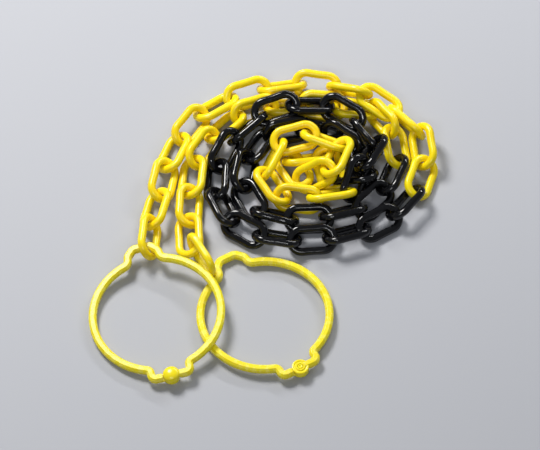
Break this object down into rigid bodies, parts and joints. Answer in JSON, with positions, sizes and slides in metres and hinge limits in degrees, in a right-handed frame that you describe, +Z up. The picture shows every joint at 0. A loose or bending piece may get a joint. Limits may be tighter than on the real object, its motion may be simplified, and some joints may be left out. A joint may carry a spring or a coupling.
{
  "type": "cone chain with snap rings",
  "caption": "Yellow and black plastic chain, doubled and coiled flat, with a hinged snap ring on each end that closes round a traffic cone or post.",
  "frame": {"origin": "middle of the base of the whole lay, on the surface that it rests on", "axes": "+Z up; the two rings lie towards -Y, the coil towards +Y"},
  "size_m": [0.3486, 0.3642, 0.0443],
  "materials": {
    "yellow_moulding": "glossy injection-moulded polyethylene",
    "black_moulding": "glossy injection-moulded polyethylene"
  },
  "bodies": {
    "coil": {"yellow_link_04": "yellow_moulding", "yellow_link_05": "yellow_moulding", "yellow_link_06": "yellow_moulding", "yellow_link_07": "yellow_moulding", "yellow_link_08": "yellow_moulding", "yellow_link_09": "yellow_moulding", "yellow_link_10": "yellow_moulding", "yellow_link_11": "yellow_moulding", "yellow_link_12": "yellow_moulding", "yellow_link_13": "yellow_moulding", "yellow_link_14": "yellow_moulding", "black_link_01": "black_moulding", "black_link_02": "black_moulding", "black_link_03": "black_moulding", "black_link_04": "black_moulding", "black_link_05": "black_moulding", "black_link_06": "black_moulding", "black_link_07": "black_moulding", "black_link_08": "black_moulding", "black_link_09": "black_moulding", "black_link_10": "black_moulding", "black_link_11": "black_moulding", "black_link_12": "black_moulding", "black_link_13": "black_moulding", "black_link_14": "black_moulding", "black_link_15": "black_moulding", "black_link_16": "black_moulding", "middle_links": "yellow_moulding", "black_link_17": "black_moulding", "black_link_18": "black_moulding", "black_link_19": "black_moulding", "black_link_20": "black_moulding", "black_link_21": "black_moulding", "black_link_22": "black_moulding", "black_link_23": "black_moulding", "black_link_24": "black_moulding", "black_link_25": "black_moulding", "black_link_26": "black_moulding", "black_link_27": "black_moulding", "black_link_28": "black_moulding", "black_link_29": "black_moulding", "yellow_link_15": "yellow_moulding", "yellow_link_16": "yellow_moulding", "yellow_link_17": "yellow_moulding", "yellow_link_18": "yellow_moulding", "yellow_link_19": "yellow_moulding", "yellow_link_20": "yellow_moulding", "yellow_link_21": "yellow_moulding", "yellow_link_22": "yellow_moulding", "yellow_link_23": "yellow_moulding", "yellow_link_24": "yellow_moulding", "yellow_link_25": "yellow_moulding", "yellow_link_26": "yellow_moulding"},
    "end_link_3": {"yellow_link_03": "yellow_moulding"},
    "end_link_2": {"yellow_link_02": "yellow_moulding"},
    "end_link_1": {"yellow_link_01": "yellow_moulding"},
    "left_ring": {"left_ring_socket_arm": "yellow_moulding"},
    "left_clasp_arm": {"left_ring_stud_arm": "yellow_moulding"},
    "right_ring": {"right_ring_stud_arm": "yellow_moulding"},
    "right_clasp_arm": {"right_ring_socket_arm": "yellow_moulding"}
  },
  "joints": [
    {"name": "end_link_3_lift", "type": "hinge", "parent": "coil", "child": "end_link_3", "pos_m": [-0.09828, 0.07339, 0.01067], "axis": [-0.9847, 0.1745, 0], "range_deg": [0, 12]},
    {"name": "end_link_2_lift", "type": "hinge", "parent": "end_link_3", "child": "end_link_2", "pos_m": [-0.10461, 0.03845, 0.01074], "axis": [-0.9696, 0.2448, 0], "range_deg": [0, 12]},
    {"name": "end_link_1_lift", "type": "hinge", "parent": "end_link_2", "child": "end_link_1", "pos_m": [-0.11344, 0.00407, 0.01228], "axis": [-0.998, 0.0626, 0], "range_deg": [0, 12]},
    {"name": "left_ring_lift", "type": "hinge", "parent": "end_link_1", "child": "left_ring", "pos_m": [-0.12262, -0.02677, 0.014], "axis": [-0.9731, -0.2033, -0.108], "range_deg": [0, 75]},
    {"name": "left_clasp", "type": "hinge", "parent": "left_ring", "child": "left_clasp_arm", "pos_m": [-0.12262, -0.02677, 0.014], "axis": [-0.9731, -0.2033, -0.108], "range_deg": [0, 12]},
    {"name": "right_ring_turn", "type": "hinge", "parent": "coil", "child": "right_ring", "pos_m": [-0.04681, -0.04687, 0.00475], "axis": [-0.0102, 0.0183, 0.9998], "range_deg": [-2, 6]},
    {"name": "right_clasp", "type": "hinge", "parent": "right_ring", "child": "right_clasp_arm", "pos_m": [-0.03721, -0.03282, 0.00459], "axis": [-0.8746, -0.4848, 0], "range_deg": [0, 12]}
  ]
}
